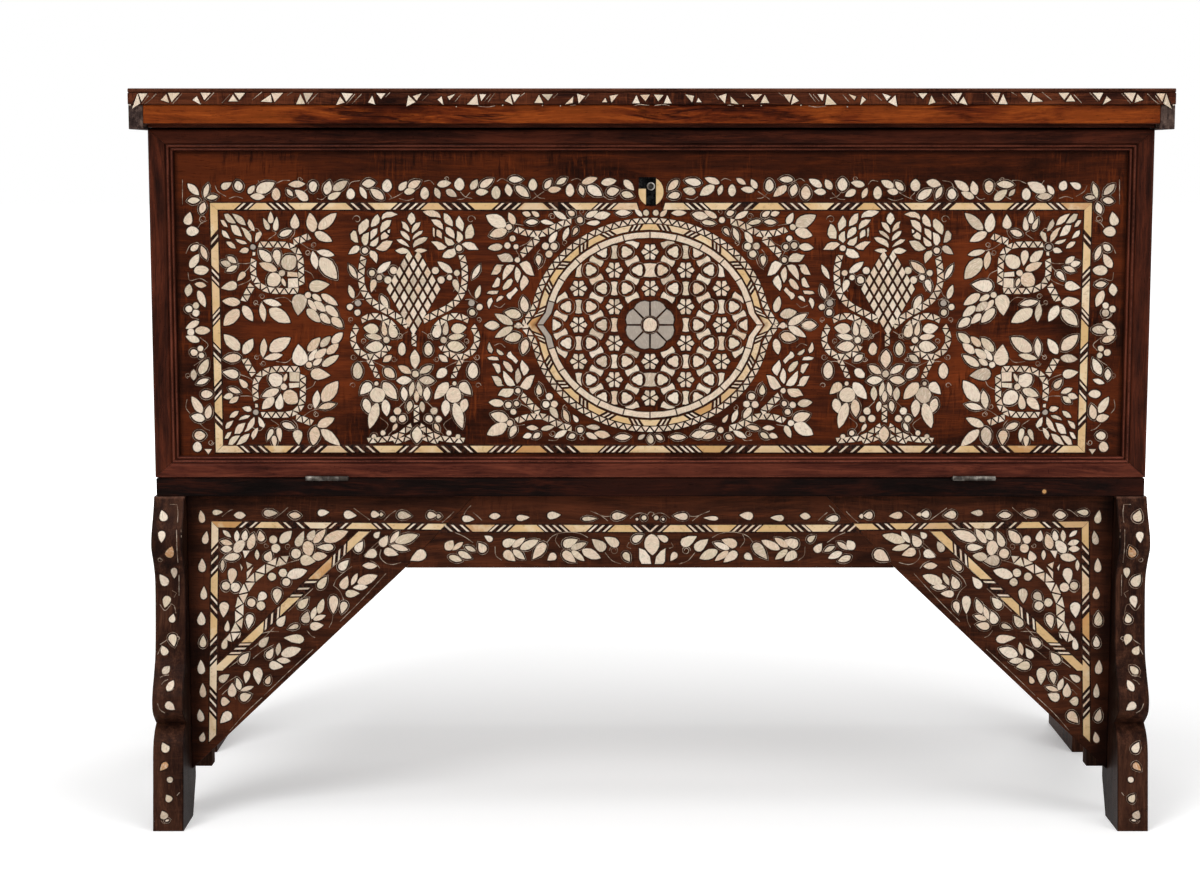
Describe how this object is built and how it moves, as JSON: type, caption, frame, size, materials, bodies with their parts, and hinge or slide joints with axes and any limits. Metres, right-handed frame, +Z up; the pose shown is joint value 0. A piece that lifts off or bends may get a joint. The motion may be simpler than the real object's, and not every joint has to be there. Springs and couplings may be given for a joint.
{
  "type": "inlaid dowry chest",
  "caption": "Wooden chest on a scalloped stand, with a hinged lid, a front that falls open, a lock and shell and bone inlay.",
  "frame": {"origin": "on the floor, under the middle of the whole chest's box", "axes": "+Z up, +X along the front to the viewer's right, -Y towards the viewer"},
  "size_m": [1.24, 0.5602, 0.8936],
  "materials": {
    "walnut": "old waxed red-brown walnut",
    "dark_walnut": "dark old waxed walnut",
    "red_walnut": "worn orange-brown wood",
    "plain_wood": "bare, unwaxed wood",
    "iron": "old worn iron",
    "bone": "polished yellowed bone",
    "pearl": "polished mother of pearl",
    "wire": "dull pewter wire"
  },
  "bodies": {
    "carcass": {"left_side": "walnut", "right_side": "walnut", "back_panel": "plain_wood", "bottom_board": "plain_wood", "top_rail": "dark_walnut", "strike_plate": "iron", "front_base_rail": "dark_walnut", "back_base_rail": "dark_walnut", "left_base_rail": "dark_walnut", "right_base_rail": "dark_walnut", "left_front_leg": "dark_walnut", "right_front_leg": "dark_walnut", "left_rear_leg": "dark_walnut", "right_rear_leg": "dark_walnut", "left_side_apron": "dark_walnut", "right_side_apron": "dark_walnut", "left_front_block": "plain_wood", "right_front_block": "plain_wood", "left_rear_block": "plain_wood", "right_rear_block": "plain_wood", "centre_apron": "walnut", "left_bracket": "walnut", "right_bracket": "walnut", "back_apron": "dark_walnut", "front_hinge_left_fixed_leaf": "iron", "front_hinge_left_pin": "iron", "front_hinge_right_fixed_leaf": "iron", "front_hinge_right_pin": "iron", "lid_hinge_left_fixed_leaf": "iron", "lid_hinge_left_pin": "iron", "lid_hinge_right_fixed_leaf": "iron", "lid_hinge_right_pin": "iron"},
    "fall_front": {"front_panel": "walnut", "moulding_top": "dark_walnut", "moulding_bottom": "dark_walnut", "moulding_left": "dark_walnut", "moulding_right": "dark_walnut", "front_hinge_left_moving_leaf": "iron", "front_hinge_right_moving_leaf": "iron", "lock_case": "iron", "drill_pin": "iron", "escutcheon_left": "bone", "escutcheon_right": "bone"},
    "bolt": {"lock_bolt": "iron"},
    "lid": {"lid_board": "walnut", "lid_edge_band": "dark_walnut", "lid_batten": "red_walnut", "lid_left_cleat": "dark_walnut", "lid_right_cleat": "dark_walnut", "lid_hinge_left_moving_leaf": "iron", "lid_hinge_right_moving_leaf": "iron"}
  },
  "joints": [
    {"name": "front_fall", "type": "hinge", "parent": "carcass", "child": "fall_front", "pos_m": [0, -0.22945, 0.4255], "axis": [1, 0, 0], "range_deg": [0, 90]},
    {"name": "lid_lift", "type": "hinge", "parent": "carcass", "child": "lid", "pos_m": [0, 0.27715, 0.87445], "axis": [-1, 0, 0], "range_deg": [0, 100]},
    {"name": "bolt_slide", "type": "slide", "parent": "fall_front", "child": "bolt", "axis": [0, 0, 1], "range_m": [0, 0.01]}
  ]
}
